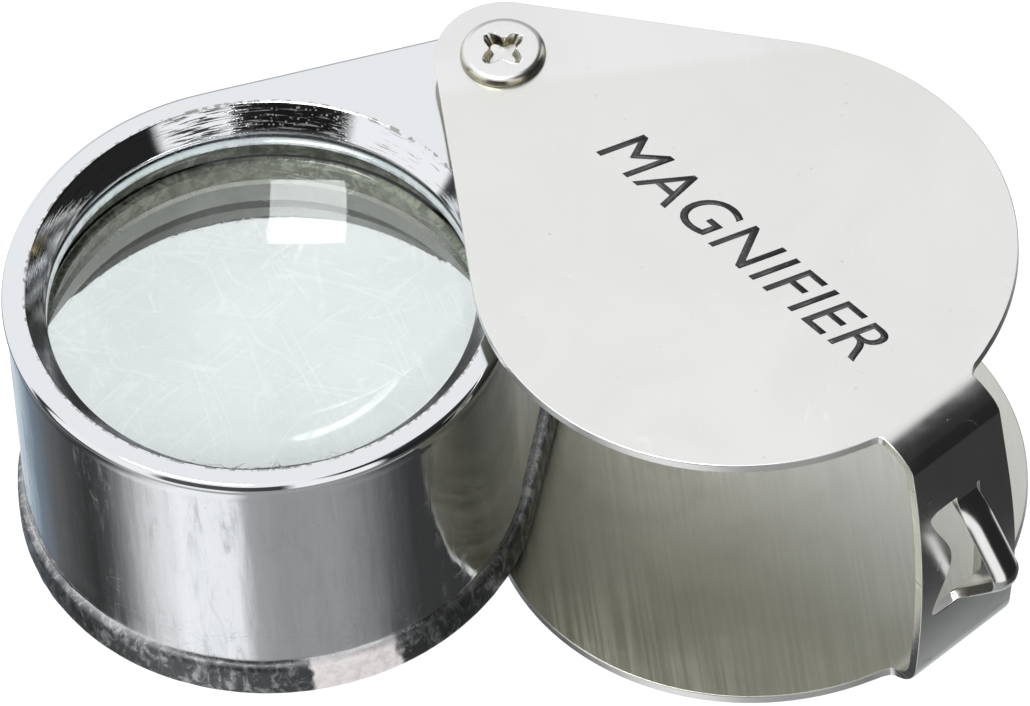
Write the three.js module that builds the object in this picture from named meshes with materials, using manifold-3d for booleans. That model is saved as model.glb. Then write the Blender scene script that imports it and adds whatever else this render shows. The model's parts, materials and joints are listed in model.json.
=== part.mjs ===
// Folding pocket loupe: a bent sheet cover with a lanyard lug, a pivot screw, and a swinging
// chromed frame that holds two lenses. Millimetres, +Z up along the pivot.
// Origin: centre of the cover's round end, on its underside. +X points at the lanyard lug.
import * as THREE from "three";
import { mergeVertices } from "three/addons/utils/BufferGeometryUtils.js";
import Module from "manifold-3d";

// Cover: two teardrop cheeks joined by a bowed strap, all one sheet
const SHEET = 0.5;
const COVER_HEIGHT = 17.8;
const COVER_ROUND_R = 12.65;
const PIVOT_REACH = 16.45;
const PIVOT_END_R = 3.2;
const STRAP_WIDTH = 6.0;
const LOWER_BEND = { x: 11.9, r: 2.2, lean: THREE.MathUtils.degToRad(8.7) };
const UPPER_BEND = { x: 13.15, r: 1.35, lean: THREE.MathUtils.degToRad(7.6) };
const STRAP_BOW = 4.6;
const STRAP_ROOT = 9.0;

// Lanyard lug: a narrow band pushed out of the strap, with a waisted window behind it
const LUG_WIDTH = 1.3;
const LUG_TIP = { x: 17.85, z: 9.0, round: 0.75 };
const LUG_UPPER = { x: 14.8, z: 12.95 };
const LUG_LOWER = { x: 14.5, z: 5.5 };
const LUG_ROOT = 0.65;
const WINDOW = { top: 13.3, bottom: 5.6, wide: 2.3, waist: 1.1, slit: 0.75, corner: 0.4, sweep: 2.0 };

// Pivot: screw, threaded sleeve and three washers
const SCREW_HEAD = { r: 2.0, flat: 1.6, height: 0.45, side: 0.1 };
const SCREW_SHANK = { r: 0.95, length: 9.0, chamfer: 0.2 };
const RECESS = { reach: 1.17, foot: 0.45, width: 0.46, depth: 0.75, over: 0.1 };
const SCREW_HOLE_R = 1.05;
const SLEEVE = { r: 1.93, bore: 1.0, neck: 1.5 };
const NECK_HOLE_R = 1.55;
const WASHER = { inner: 2.0, outer: 2.9, thick: 0.4 };
const SPRING = { inner: 2.05, outer: 2.85, thick: 0.25, wave: 0.19, waves: 3 };

// Swinging frame
const SWING = THREE.MathUtils.degToRad(-85.7);
const FRAME_REACH = 16.5;
const FRAME_R = 11.85;
const FRAME_BOTTOM = SHEET + WASHER.thick;
const FRAME_TOP = 16.25;
const LIP = { height: 0.5, grow: 0.15, edge: 0.1 };
const FLANGE = { height: 2.2, grow: 0.33, neck: 0.26, edge: 0.2, slope: 0.5 };
const PIVOT_BORE_R = 2.0;
const LENS_BORE_R = 10.6;
const APERTURE_R = 10.0;
const BEVEL = { r: 10.9, depth: 1.1 };
const LAND = 1.0;
const REAR_CHAMFER = 0.5;

// Optics: two equal lenses, flat faces outward, with a spacer ring and a retaining ring
const FIT = 0.02;
const LENS = { r: 10.5, edge: 2.4, sphere: 32 };
const SPACER = { outer: 10.52, inner: 9.8 };
const REAR_RING = { outer: 10.52, inner: 9.9, height: 1.6, notch: 1.6 };
const REAR_LENS_FLAT = 5.4;
const FRONT_LENS_FLAT = FRAME_TOP - BEVEL.depth - LAND - FIT;

const OUTLINE_STEPS = 36;
const ROUND_STEPS = 72;
const SMALL_STEPS = 24;

const wasm = await Module();
wasm.setup();

function signedVolume(geometry) {
  const at = geometry.attributes.position;
  const index = geometry.index;
  const corner = [new THREE.Vector3(), new THREE.Vector3(), new THREE.Vector3()];
  let total = 0;
  for (let i = 0; i < index.count; i += 3) {
    corner.forEach((v, k) => v.fromBufferAttribute(at, index.getX(i + k)));
    total += corner[0].dot(corner[1].clone().cross(corner[2])) / 6;
  }
  return total;
}

// One closed body with shared vertices and its faces pointing out
function closed(geometry) {
  const bare = geometry.clone();
  bare.deleteAttribute("normal");
  bare.deleteAttribute("uv");
  const body = mergeVertices(bare, 1e-4);
  if (signedVolume(body) < 0) {
    body.setIndex(Array.from(body.index.array).reverse());
  }
  return body;
}

function solid(geometry) {
  const body = closed(geometry);
  const vertProperties = new Float32Array(body.attributes.position.array);
  const triVerts = new Uint32Array(body.index.array);
  return new wasm.Manifold(new wasm.Mesh({ numProp: 3, vertProperties, triVerts }));
}

function fromSolid(body) {
  const mesh = body.getMesh();
  const geometry = new THREE.BufferGeometry();
  geometry.setAttribute("position", new THREE.BufferAttribute(mesh.vertProperties, 3));
  geometry.setIndex(new THREE.BufferAttribute(mesh.triVerts, 1));
  return geometry;
}

// A profile of [radius, height] pairs turned about +Z
function turned(profile, steps) {
  const points = profile.map(([r, z]) => new THREE.Vector2(r, z));
  return new THREE.LatheGeometry(points, steps).rotateX(Math.PI / 2);
}

function tube(inner, outer, bottom, top, steps) {
  return turned([[inner, bottom], [outer, bottom], [outer, top], [inner, top], [inner, bottom]], steps);
}

function cylinder(r, bottom, top, steps) {
  return turned([[0, bottom], [r, bottom], [r, top], [0, top]], steps);
}

// Two circles and their common tangents, pivot circle on the origin, round end on +X
function teardrop(reach, roundR, pivotR) {
  const tangent = Math.acos((roundR - pivotR) / reach);
  const shape = new THREE.Shape();
  shape.absarc(reach, 0, roundR, tangent - Math.PI, Math.PI - tangent, false);
  shape.absarc(0, 0, pivotR, Math.PI - tangent, Math.PI + tangent, false);
  return shape;
}

function plate(shape, bottom, thickness, steps) {
  const options = { depth: thickness, bevelEnabled: false, curveSegments: steps };
  return new THREE.ExtrudeGeometry(shape, options).translate(0, 0, bottom);
}

// The same outline at several heights, joined by walls and capped at both ends
function lofted(levels) {
  const rings = levels.map(({ z, outline }) => outline.map((p) => [p.x, p.y, z]));
  const count = rings[0].length;
  const index = [];
  for (let level = 0; level + 1 < rings.length; level += 1) {
    for (let i = 0; i < count; i += 1) {
      const low = level * count;
      const next = (i + 1) % count;
      index.push(low + i, low + next, low + count + next);
      index.push(low + i, low + count + next, low + count + i);
    }
  }
  const cap = THREE.ShapeUtils.triangulateShape(levels[0].outline, []);
  const top = (rings.length - 1) * count;
  for (const [a, b, c] of cap) {
    index.push(a, c, b);
    index.push(top + a, top + b, top + c);
  }
  const geometry = new THREE.BufferGeometry();
  geometry.setAttribute("position", new THREE.Float32BufferAttribute(rings.flat(2), 3));
  geometry.setIndex(index);
  return geometry;
}

// A strip of sheet bent along an outer path in the XZ plane, centred on y = 0
function bentStrip(path, thickness, width, steps) {
  const outer = path.getPoints(steps);
  const inner = outer.map((point, i) => {
    const before = outer[Math.max(i - 1, 0)];
    const after = outer[Math.min(i + 1, outer.length - 1)];
    const along = after.clone().sub(before).normalize();
    return new THREE.Vector2(point.x - along.y * thickness, point.y + along.x * thickness);
  });
  const shape = new THREE.Shape([...outer, ...inner.reverse()]);
  const geometry = new THREE.ExtrudeGeometry(shape, { depth: width, bevelEnabled: false });
  return geometry.rotateX(Math.PI / 2).translate(0, width / 2, 0);
}

// Outer face of the strap, from the lower cheek up to the upper cheek
function strapPath() {
  const low = LOWER_BEND;
  const up = UPPER_BEND;
  const start = new THREE.Vector2(low.x + low.r * Math.cos(low.lean), low.r - low.r * Math.sin(low.lean));
  const upZ = COVER_HEIGHT - up.r;
  const end = new THREE.Vector2(up.x + up.r * Math.cos(up.lean), upZ + up.r * Math.sin(up.lean));
  const path = new THREE.Path();
  path.moveTo(STRAP_ROOT, 0);
  path.lineTo(low.x, 0);
  path.absarc(low.x, low.r, low.r, -Math.PI / 2, -low.lean, false);
  path.bezierCurveTo(
    start.x + STRAP_BOW * Math.sin(low.lean), start.y + STRAP_BOW * Math.cos(low.lean),
    end.x + STRAP_BOW * Math.sin(up.lean), end.y - STRAP_BOW * Math.cos(up.lean),
    end.x, end.y,
  );
  path.absarc(up.x, upZ, up.r, up.lean, Math.PI / 2, false);
  path.lineTo(STRAP_ROOT, COVER_HEIGHT);
  return path;
}

// Outer face of the lug band, from its lower root round the tip to its upper root
function lugPath() {
  const tip = new THREE.Vector2(LUG_TIP.x, LUG_TIP.z);
  const low = new THREE.Vector2(LUG_LOWER.x, LUG_LOWER.z);
  const up = new THREE.Vector2(LUG_UPPER.x, LUG_UPPER.z);
  const intoTip = tip.clone().add(low.clone().sub(tip).setLength(LUG_TIP.round));
  const outOfTip = tip.clone().add(up.clone().sub(tip).setLength(LUG_TIP.round));
  const path = new THREE.Path();
  path.moveTo(low.x, low.y - LUG_ROOT);
  path.lineTo(low.x, low.y);
  path.lineTo(intoTip.x, intoTip.y);
  path.quadraticCurveTo(tip.x, tip.y, outOfTip.x, outOfTip.y);
  path.lineTo(up.x, up.y);
  path.lineTo(up.x, up.y + LUG_ROOT);
  return path;
}

// The window in the strap: on one side of the band wide at both ends and waisted, on the other a plain slit
function windowShape() {
  const { top, bottom, corner } = WINDOW;
  const middle = (top + bottom) / 2;
  const shape = new THREE.Shape();
  shape.moveTo(corner - WINDOW.wide, bottom);
  for (const side of [1, -1]) {
    const near = side > 0 ? bottom : top;
    const far = side > 0 ? top : bottom;
    const wide = side > 0 ? WINDOW.slit : -WINDOW.wide;
    const waist = side > 0 ? WINDOW.slit : -WINDOW.waist;
    const inset = side * corner;
    const sweep = side * WINDOW.sweep;
    shape.lineTo(wide - inset, near);
    shape.quadraticCurveTo(wide, near, wide, near + inset);
    shape.bezierCurveTo(wide, near + sweep, waist, middle - sweep, waist, middle);
    shape.bezierCurveTo(waist, middle + sweep, wide, far - sweep, wide, far - inset);
    shape.quadraticCurveTo(wide, far, wide - inset, far);
  }
  return shape;
}

function coverGeometry() {
  const outline = teardrop(PIVOT_REACH, COVER_ROUND_R, PIVOT_END_R);
  const lower = plate(outline, 0, SHEET, OUTLINE_STEPS).translate(-PIVOT_REACH, 0, 0);
  const upper = plate(outline, COVER_HEIGHT - SHEET, SHEET, OUTLINE_STEPS).translate(-PIVOT_REACH, 0, 0);
  const strap = bentStrip(strapPath(), SHEET, STRAP_WIDTH, 12);
  const opening = plate(windowShape(), 0, LUG_TIP.x - UPPER_BEND.x, 10);
  opening.rotateZ(Math.PI / 2).rotateY(Math.PI / 2).translate(UPPER_BEND.x, 0, 0);
  const band = bentStrip(lugPath(), SHEET, LUG_WIDTH, 8);
  const neckHole = cylinder(NECK_HOLE_R, -1, 1, SMALL_STEPS).translate(-PIVOT_REACH, 0, 0);
  const screwHole = cylinder(SCREW_HOLE_R, COVER_HEIGHT - 1, COVER_HEIGHT + 1, SMALL_STEPS);
  screwHole.translate(-PIVOT_REACH, 0, 0);
  const sheet = solid(strap).add(solid(lower)).add(solid(upper));
  const pierced = sheet.subtract(solid(opening)).subtract(solid(neckHole)).subtract(solid(screwHole));
  return fromSolid(pierced.add(solid(band)));
}

function screwGeometry() {
  const seat = COVER_HEIGHT;
  const top = seat + SCREW_HEAD.height;
  const tip = seat - SCREW_SHANK.length;
  const profile = [
    [0, tip],
    [SCREW_SHANK.r - SCREW_SHANK.chamfer, tip],
    [SCREW_SHANK.r, tip + SCREW_SHANK.chamfer],
    [SCREW_SHANK.r, seat],
    [SCREW_HEAD.r, seat],
  ];
  for (let step = 0; step <= 4; step += 1) {
    const turn = (step / 4) * (Math.PI / 2);
    const across = (SCREW_HEAD.r - SCREW_HEAD.flat) * Math.cos(turn);
    const rise = (SCREW_HEAD.height - SCREW_HEAD.side) * Math.sin(turn);
    profile.push([SCREW_HEAD.flat + across, seat + SCREW_HEAD.side + rise]);
  }
  profile.push([0, top]);
  const body = turned(profile, SMALL_STEPS);
  const wing = new THREE.Shape([
    new THREE.Vector2(-RECESS.foot, -RECESS.depth),
    new THREE.Vector2(RECESS.foot, -RECESS.depth),
    new THREE.Vector2(RECESS.reach, RECESS.over),
    new THREE.Vector2(-RECESS.reach, RECESS.over),
  ]);
  const slot = new THREE.ExtrudeGeometry(wing, { depth: RECESS.width, bevelEnabled: false });
  slot.rotateX(Math.PI / 2).translate(0, RECESS.width / 2, top);
  const crossing = slot.clone().rotateZ(Math.PI / 2);
  return fromSolid(solid(body).subtract(solid(slot)).subtract(solid(crossing)));
}

function sleeveGeometry() {
  const top = COVER_HEIGHT - SHEET;
  return turned([
    [SLEEVE.bore, 0],
    [SLEEVE.neck, 0],
    [SLEEVE.neck, SHEET],
    [SLEEVE.r, SHEET],
    [SLEEVE.r, top],
    [SLEEVE.bore, top],
    [SLEEVE.bore, 0],
  ], SMALL_STEPS);
}

function washerGeometry(bottom) {
  return tube(WASHER.inner, WASHER.outer, bottom, bottom + WASHER.thick, SMALL_STEPS);
}

// A ring whose height follows a cosine round its rim
function springGeometry() {
  const low = FRAME_TOP + WASHER.thick;
  const high = COVER_HEIGHT - SHEET;
  const middle = (low + high) / 2;
  const ring = tube(SPRING.inner, SPRING.outer, middle - SPRING.thick / 2, middle + SPRING.thick / 2, 48);
  const at = ring.attributes.position;
  for (let i = 0; i < at.count; i += 1) {
    const angle = Math.atan2(at.getY(i), at.getX(i));
    at.setZ(i, at.getZ(i) + SPRING.wave * Math.cos(SPRING.waves * angle));
  }
  return ring;
}

function frameGeometry() {
  const profile = [
    [FRAME_BOTTOM, FLANGE.grow - FLANGE.edge],
    [FRAME_BOTTOM + FLANGE.edge, FLANGE.grow],
    [FRAME_BOTTOM + FLANGE.height - FLANGE.slope, FLANGE.neck],
    [FRAME_BOTTOM + FLANGE.height, 0],
    [FRAME_TOP - LIP.height - LIP.edge, 0],
    [FRAME_TOP - LIP.height, LIP.grow],
    [FRAME_TOP - LIP.edge, LIP.grow],
    [FRAME_TOP, LIP.grow - LIP.edge],
  ];
  const levels = profile.map(([z, grow]) => {
    const outline = teardrop(FRAME_REACH, FRAME_R + grow, PIVOT_END_R - LIP.grow + grow);
    return { z, outline: outline.getPoints(OUTLINE_STEPS).slice(0, -1) };
  });
  const bore = turned([
    [0, FRAME_BOTTOM - 1],
    [LENS_BORE_R + REAR_CHAMFER + 1, FRAME_BOTTOM - 1],
    [LENS_BORE_R, FRAME_BOTTOM + REAR_CHAMFER],
    [LENS_BORE_R, FRAME_TOP - BEVEL.depth - LAND],
    [APERTURE_R, FRAME_TOP - BEVEL.depth - LAND],
    [APERTURE_R, FRAME_TOP - BEVEL.depth],
    [BEVEL.r, FRAME_TOP],
    [BEVEL.r, FRAME_TOP + 1],
    [0, FRAME_TOP + 1],
  ], ROUND_STEPS).translate(FRAME_REACH, 0, 0);
  const pivotBore = cylinder(PIVOT_BORE_R, FRAME_BOTTOM - 1, FRAME_TOP + 1, SMALL_STEPS);
  return fromSolid(solid(lofted(levels)).subtract(solid(bore)).subtract(solid(pivotBore)));
}

// Height of the domed face above the flat face at a radius
function lensThickness(radius) {
  const { r, edge, sphere } = LENS;
  return edge + Math.sqrt(sphere ** 2 - radius ** 2) - Math.sqrt(sphere ** 2 - r ** 2);
}

// Flat face at z = 0, domed face towards +Z
function lensGeometry() {
  const profile = [[0, 0], [LENS.r, 0]];
  for (let step = 0; step <= 6; step += 1) {
    const radius = LENS.r * (1 - step / 6);
    profile.push([radius, lensThickness(radius)]);
  }
  return turned(profile, ROUND_STEPS);
}

function spacerGeometry() {
  const reach = lensThickness(SPACER.inner) + FIT;
  const bottom = REAR_LENS_FLAT + reach;
  const top = FRONT_LENS_FLAT - reach;
  return tube(SPACER.inner, SPACER.outer, bottom, top, ROUND_STEPS);
}

// Retaining ring with two notches for a spanner
function rearRingGeometry() {
  const top = REAR_LENS_FLAT - FIT;
  const bottom = top - REAR_RING.height;
  const ring = tube(REAR_RING.inner, REAR_RING.outer, bottom, top, ROUND_STEPS);
  const cutter = new THREE.BoxGeometry(2 * REAR_RING.outer + 2, REAR_RING.notch, REAR_RING.height);
  cutter.translate(0, 0, bottom);
  return fromSolid(solid(ring).subtract(solid(cutter)));
}

const MATERIALS = {
  satinSteel: new THREE.MeshStandardMaterial({ color: 0xd6d7d5, roughness: 0.35, metalness: 1 }),
  nickel: new THREE.MeshStandardMaterial({ color: 0xcfc9b4, roughness: 0.22, metalness: 1 }),
  brass: new THREE.MeshStandardMaterial({ color: 0xb49552, roughness: 0.4, metalness: 1 }),
  springSteel: new THREE.MeshStandardMaterial({ color: 0x9a9a98, roughness: 0.35, metalness: 1 }),
  chrome: new THREE.MeshStandardMaterial({ color: 0xdfe3e8, roughness: 0.08, metalness: 1 }),
  glass: new THREE.MeshStandardMaterial({ color: 0xdcebe4, roughness: 0.02, metalness: 0 }),
  alloy: new THREE.MeshStandardMaterial({ color: 0x9aa09a, roughness: 0.5, metalness: 1 }),
};

function piece(name, geometry, material) {
  const mesh = new THREE.Mesh(closed(geometry), MATERIALS[material].clone());
  mesh.name = name;
  return mesh;
}

const group = new THREE.Group();
group.add(piece("case_cover", coverGeometry(), "satinSteel"));

const pivot = new THREE.Group();
pivot.position.set(-PIVOT_REACH, 0, 0);
group.add(pivot);
pivot.add(piece("pivot_screw", screwGeometry(), "nickel"));
pivot.add(piece("pivot_sleeve", sleeveGeometry(), "brass"));
pivot.add(piece("lower_washer", washerGeometry(SHEET), "brass"));
pivot.add(piece("upper_washer", washerGeometry(FRAME_TOP), "brass"));
pivot.add(piece("spring_washer", springGeometry(), "springSteel"));

const swing = new THREE.Group();
swing.rotation.z = SWING;
pivot.add(swing);
swing.add(piece("lens_frame", frameGeometry(), "chrome"));

const optics = new THREE.Group();
optics.position.set(FRAME_REACH, 0, 0);
swing.add(optics);
optics.add(piece("spacer_ring", spacerGeometry(), "alloy"));
optics.add(piece("retaining_ring", rearRingGeometry(), "chrome"));

const upperLens = piece("upper_lens", lensGeometry().rotateX(Math.PI), "glass");
upperLens.position.z = FRONT_LENS_FLAT;
optics.add(upperLens);

const lowerLens = piece("lower_lens", lensGeometry(), "glass");
lowerLens.position.z = REAR_LENS_FLAT;
optics.add(lowerLens);

export default group;
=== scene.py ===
import json
import math

import bmesh
import bpy
from mathutils import Matrix, Vector, noise


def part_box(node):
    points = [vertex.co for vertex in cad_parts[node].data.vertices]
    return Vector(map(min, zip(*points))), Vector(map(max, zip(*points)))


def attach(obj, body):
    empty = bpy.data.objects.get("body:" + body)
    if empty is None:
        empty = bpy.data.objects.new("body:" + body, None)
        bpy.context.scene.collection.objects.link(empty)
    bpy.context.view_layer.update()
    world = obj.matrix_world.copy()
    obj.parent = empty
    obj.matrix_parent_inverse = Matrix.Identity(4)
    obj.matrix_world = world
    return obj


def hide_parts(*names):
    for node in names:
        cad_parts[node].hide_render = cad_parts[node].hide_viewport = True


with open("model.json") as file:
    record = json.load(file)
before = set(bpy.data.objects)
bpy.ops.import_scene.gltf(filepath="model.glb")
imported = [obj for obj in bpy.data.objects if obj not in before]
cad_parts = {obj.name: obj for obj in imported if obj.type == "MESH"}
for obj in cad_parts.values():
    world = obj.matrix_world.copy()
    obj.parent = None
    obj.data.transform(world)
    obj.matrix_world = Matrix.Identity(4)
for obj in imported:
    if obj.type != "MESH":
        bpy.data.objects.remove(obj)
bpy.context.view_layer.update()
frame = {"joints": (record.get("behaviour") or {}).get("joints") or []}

# Folding pocket loupe, lying open on its cover. Lengths are in metres; MM turns millimetres into metres.
MM = 0.001


def corners(node):
    low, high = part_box(node)
    return Vector(low), Vector(high)


# ---- places, from the frame
COVER_HIGH = corners("case_cover")[1]
BARREL_LOW, BARREL_HIGH = corners("lens_frame")
UPPER_LENS_LOW, UPPER_LENS_HIGH = corners("upper_lens")
LOWER_LENS_LOW = corners("lower_lens")[0]
SCREW_LOW, SCREW_HIGH = corners("pivot_screw")
SLEEVE_LOW, SLEEVE_HIGH = corners("pivot_sleeve")
RING_LOW, RING_HIGH = corners("retaining_ring")
SPACER_LOW, SPACER_HIGH = corners("spacer_ring")
SPRING_LOW, SPRING_HIGH = corners("spring_washer")

HINGE = next(joint for joint in frame["joints"] if joint["name"] == "lens_swing")
PIVOT = Vector((HINGE["pos_m"][0], HINGE["pos_m"][1], 0))
LENS_AXIS = (UPPER_LENS_LOW + UPPER_LENS_HIGH) / 2 * Vector((1, 1, 0))
SWING = math.atan2(LENS_AXIS.y - PIVOT.y, LENS_AXIS.x - PIVOT.x)
REACH = (LENS_AXIS - PIVOT).length

# ---- cover sheet
SHEET = 0.5 * MM
PIVOT_HOLE = 1.55 * MM
SHEET_ROUNDING = 0.09 * MM
HEIGHT = COVER_HIGH.z
ROUND_R = COVER_HIGH.y
PIVOT_END_R = 3.2 * MM
STRAP_HALF = 3.0 * MM
STRAP_FILLET = 0.5 * MM
STRAP_RELIEF = 0.5 * MM
RELIEF_FROM = 5.0 * MM
RELIEF_FULL = 16.0 * MM
UPPER_BEND = {"drop": 1.35 * MM, "reach": 14.5 * MM, "lean": math.radians(7.6)}
BEND_LEAD = 0.12 * MM
SLIT = 0.75 * MM
LOWER_BEND = {"r": 2.2 * MM, "reach": 14.1 * MM, "lean": math.radians(8.7)}
BOW = 4.6 * MM
WINDOW_TOP = 13.3 * MM
WINDOW_LOW = 5.6 * MM
WINDOW_WIDE = 2.3 * MM
WINDOW_WAIST = 1.1 * MM
WINDOW_CORNER = 0.4 * MM
BAND_HALF = 0.65 * MM
BAND_CROWN = 0.30 * MM
LUG_TOP = 12.95 * MM
LUG_TIP_Z = 9.05 * MM
LUG_DEPTH = 2.735 * MM
UPPER_BEND_STEPS = 24
LOWER_BEND_STEPS = 12
WINDOW_STEPS = 64
CHEEK_STEPS = 40
CHEEK_END_STEPS = 16

# ---- barrel
BARREL_R = 11.85 * MM
NECK_R = 3.05 * MM
LIP = 0.15 * MM
FLANGE = 0.33 * MM
LENS_BORE = 10.6 * MM
APERTURE = 10.0 * MM
MOUTH_R = 10.9 * MM
MOUTH_DEPTH = 1.1 * MM
LAND = 1.0 * MM
PIVOT_BORE = 2.0 * MM


# ---- mesh helpers
def soften(bm, width, segments=3, angle=25):
    """Rounds every edge that turns by more than the angle, in degrees."""
    sharp = [e for e in bm.edges if len(e.link_faces) == 2 and e.calc_face_angle() > math.radians(angle)]
    bmesh.ops.bevel(bm, geom=sharp, offset=width, offset_type="OFFSET", segments=segments,
                    profile=0.5, affect="EDGES", material=-1, clamp_overlap=True)


def spun(profile, centre, steps=96):
    """A profile of (radius, height) pairs turned about the vertical through centre."""
    bm = bmesh.new()
    ring = [bm.verts.new((r, 0, z)) for r, z in profile]
    edges = [bm.edges.new(pair) for pair in zip(ring, ring[1:])]
    bmesh.ops.spin(bm, geom=ring + edges, cent=(0, 0, 0), axis=(0, 0, 1), dvec=(0, 0, 0),
                   angle=2 * math.pi, steps=steps, use_merge=True, use_duplicate=False)
    bmesh.ops.remove_doubles(bm, verts=bm.verts, dist=1e-7)
    bmesh.ops.translate(bm, verts=bm.verts, vec=centre)
    bmesh.ops.recalc_face_normals(bm, faces=bm.faces)
    return bm


def tube(inner, outer, low, high):
    """The closed profile of a plain ring."""
    return [(inner, low), (outer, low), (outer, high), (inner, high), (inner, low)]


def to_object(name, bm):
    mesh = bpy.data.meshes.new(name)
    bm.to_mesh(mesh)
    bm.free()
    obj = bpy.data.objects.new(name, mesh)
    bpy.context.scene.collection.objects.link(obj)
    obj.data.shade_smooth()
    return obj


def settle(obj):
    """Applies the object's modifiers to its mesh."""
    graph = bpy.context.evaluated_depsgraph_get()
    mesh = bpy.data.meshes.new_from_object(obj.evaluated_get(graph))
    obj.modifiers.clear()
    obj.data = mesh


def cut(obj, *cutters):
    """Takes the cutters' shapes out of the object and removes the cutters."""
    for cutter in cutters:
        knife = obj.modifiers.new("cut", "BOOLEAN")
        knife.operation = "DIFFERENCE"
        knife.solver = "EXACT"
        knife.object = cutter
    settle(obj)
    for cutter in cutters:
        bpy.data.objects.remove(cutter)


def round_edges(obj, width, segments=3, angle=35):
    """Live edge rounding, with flat faces kept flat to the light."""
    bevel = obj.modifiers.new("rounding", "BEVEL")
    bevel.width = width
    bevel.segments = segments
    bevel.limit_method = "ANGLE"
    bevel.angle_limit = math.radians(angle)
    bevel.harden_normals = True
    keep_flat(obj)


def keep_flat(obj):
    flat = obj.modifiers.new("flat_faces", "WEIGHTED_NORMAL")
    flat.weight = 80
    flat.keep_sharp = True


def place(obj, body, slot, nodes, *materials):
    """Puts a finished piece on its body, in place of its CAD nodes; slot is not used."""
    for material in materials:
        obj.data.materials.append(material)
    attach(obj, body)
    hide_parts(*nodes)


# ---- material helpers
FLOAT = "NodeSocketFloat"
VECTOR = "NodeSocketVector"


def socket(group, name, way, kind, value=None):
    made = group.interface.new_socket(name=name, in_out=way, socket_type=kind)
    if value is not None:
        made.default_value = value
    return made


class Nodes:
    """Short ways to add and join nodes in one tree."""

    def __init__(self, tree):
        self.tree = tree

    def add(self, kind, **values):
        node = self.tree.nodes.new(kind)
        for key, value in values.items():
            setattr(node, key, value)
        return node

    def link(self, source, target):
        self.tree.links.new(source, target)

    def feed(self, target, value):
        if isinstance(value, bpy.types.NodeSocket):
            self.link(value, target)
        else:
            target.default_value = value

    def math(self, operation, a, b=0.0):
        node = self.add("ShaderNodeMath", operation=operation)
        self.feed(node.inputs[0], a)
        self.feed(node.inputs[1], b)
        return node.outputs[0]

    def plus(self, a, b):
        return self.math("ADD", a, b)

    def minus(self, a, b):
        return self.math("SUBTRACT", a, b)

    def times(self, a, b):
        return self.math("MULTIPLY", a, b)

    def larger(self, a, b):
        return self.math("MAXIMUM", a, b)

    def band(self, value, low, high, out_low=0.0, out_high=1.0):
        """Smoothly maps low..high onto out_low..out_high, and stays there beyond."""
        node = self.add("ShaderNodeMapRange", interpolation_type="SMOOTHSTEP")
        self.feed(node.inputs["Value"], value)
        self.feed(node.inputs["From Min"], low)
        self.feed(node.inputs["From Max"], high)
        self.feed(node.inputs["To Min"], out_low)
        self.feed(node.inputs["To Max"], out_high)
        return node.outputs["Result"]

    def mix(self, factor, a, b):
        node = self.add("ShaderNodeMix", data_type="RGBA")
        self.feed(node.inputs["Factor"], factor)
        self.feed(node.inputs[6], a)
        self.feed(node.inputs[7], b)
        return node.outputs[2]

    def ramp(self, value, stops):
        node = self.add("ShaderNodeValToRGB")
        elements = node.color_ramp.elements
        while len(elements) > 1:
            elements.remove(elements[-1])
        elements[0].position = stops[0][0]
        elements[0].color = stops[0][1]
        for position, color in stops[1:]:
            elements.new(position).color = color
        self.feed(node.inputs["Fac"], value)
        return node.outputs["Color"]

    def mapping(self, vector, scale=(1, 1, 1), turn=(0, 0, 0), move=(0, 0, 0)):
        node = self.add("ShaderNodeMapping")
        self.feed(node.inputs["Vector"], vector)
        self.feed(node.inputs["Location"], move)
        self.feed(node.inputs["Rotation"], turn)
        self.feed(node.inputs["Scale"], scale)
        return node.outputs["Vector"]

    def noise(self, vector, scale, detail=3.0, roughness=0.5, distortion=0.0):
        node = self.add("ShaderNodeTexNoise")
        self.feed(node.inputs["Vector"], vector)
        self.feed(node.inputs["Scale"], scale)
        self.feed(node.inputs["Detail"], detail)
        self.feed(node.inputs["Roughness"], roughness)
        self.feed(node.inputs["Distortion"], distortion)
        return node.outputs["Fac"]

    def cells(self, vector, scale):
        """The distance to the nearest of many scattered points."""
        node = self.add("ShaderNodeTexVoronoi")
        self.feed(node.inputs["Vector"], vector)
        self.feed(node.inputs["Scale"], scale)
        return node.outputs["Distance"]

    def bump(self, height, distance, strength=1.0, normal=None):
        node = self.add("ShaderNodeBump")
        self.feed(node.inputs["Height"], height)
        self.feed(node.inputs["Distance"], distance)
        self.feed(node.inputs["Strength"], strength)
        if normal is not None:
            self.link(normal, node.inputs["Normal"])
        return node.outputs["Normal"]


def node_group(name, inputs, outputs):
    """A group with named inputs and outputs: its helper, its input node and its output node."""
    group = bpy.data.node_groups.new(name, "ShaderNodeTree")
    for label, kind, value in inputs:
        socket(group, label, "INPUT", kind, value)
    for label, kind in outputs:
        socket(group, label, "OUTPUT", kind)
    n = Nodes(group)
    return n, n.add("NodeGroupInput").outputs, n.add("NodeGroupOutput").inputs


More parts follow.
